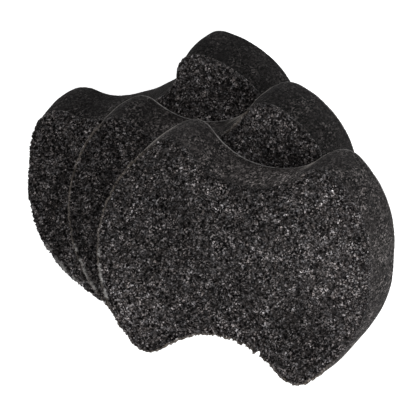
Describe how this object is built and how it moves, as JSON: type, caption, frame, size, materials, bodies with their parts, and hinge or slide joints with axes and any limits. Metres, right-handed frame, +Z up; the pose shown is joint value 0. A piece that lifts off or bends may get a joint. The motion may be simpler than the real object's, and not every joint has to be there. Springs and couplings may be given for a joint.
{
  "type": "exfoliating sponge",
  "caption": "Soft foam bath sponges with a coarse scrubbing face and finger bites at the waist, fanned out in a flat pile, scrub side up.",
  "frame": {"origin": "centre of the bottom sponge's flat underside, on the surface the pile lies on", "axes": "+Z up through the pile, out of the scrub faces; +X along the bottom sponge's long axis, towards the side that the upper sponges are fanned to"},
  "size_m": [0.1981, 0.1643, 0.1428],
  "materials": {
    "foam": "fine-pored flexible foam, matte charcoal",
    "bond": "thin laminating adhesive, satin black",
    "scrub": "coarse open-celled scrubbing foam, gritty, matte charcoal"
  },
  "bodies": {
    "bottom_sponge": {"bottom_foam_body": "foam", "bottom_bond_layer": "bond", "bottom_scrub_layer": "scrub"},
    "middle_sponge": {"middle_foam_body": "foam", "middle_bond_layer": "bond", "middle_scrub_layer": "scrub"},
    "top_sponge": {"top_foam_body": "foam", "top_bond_layer": "bond", "top_scrub_layer": "scrub"}
  },
  "joints": [
    {"name": "middle_lift", "type": "slide", "parent": "bottom_sponge", "child": "middle_sponge", "axis": [0, 0, 1], "range_m": [0, 0.06]},
    {"name": "top_lift", "type": "slide", "parent": "middle_sponge", "child": "top_sponge", "axis": [0, 0, 1], "range_m": [0, 0.06]}
  ]
}
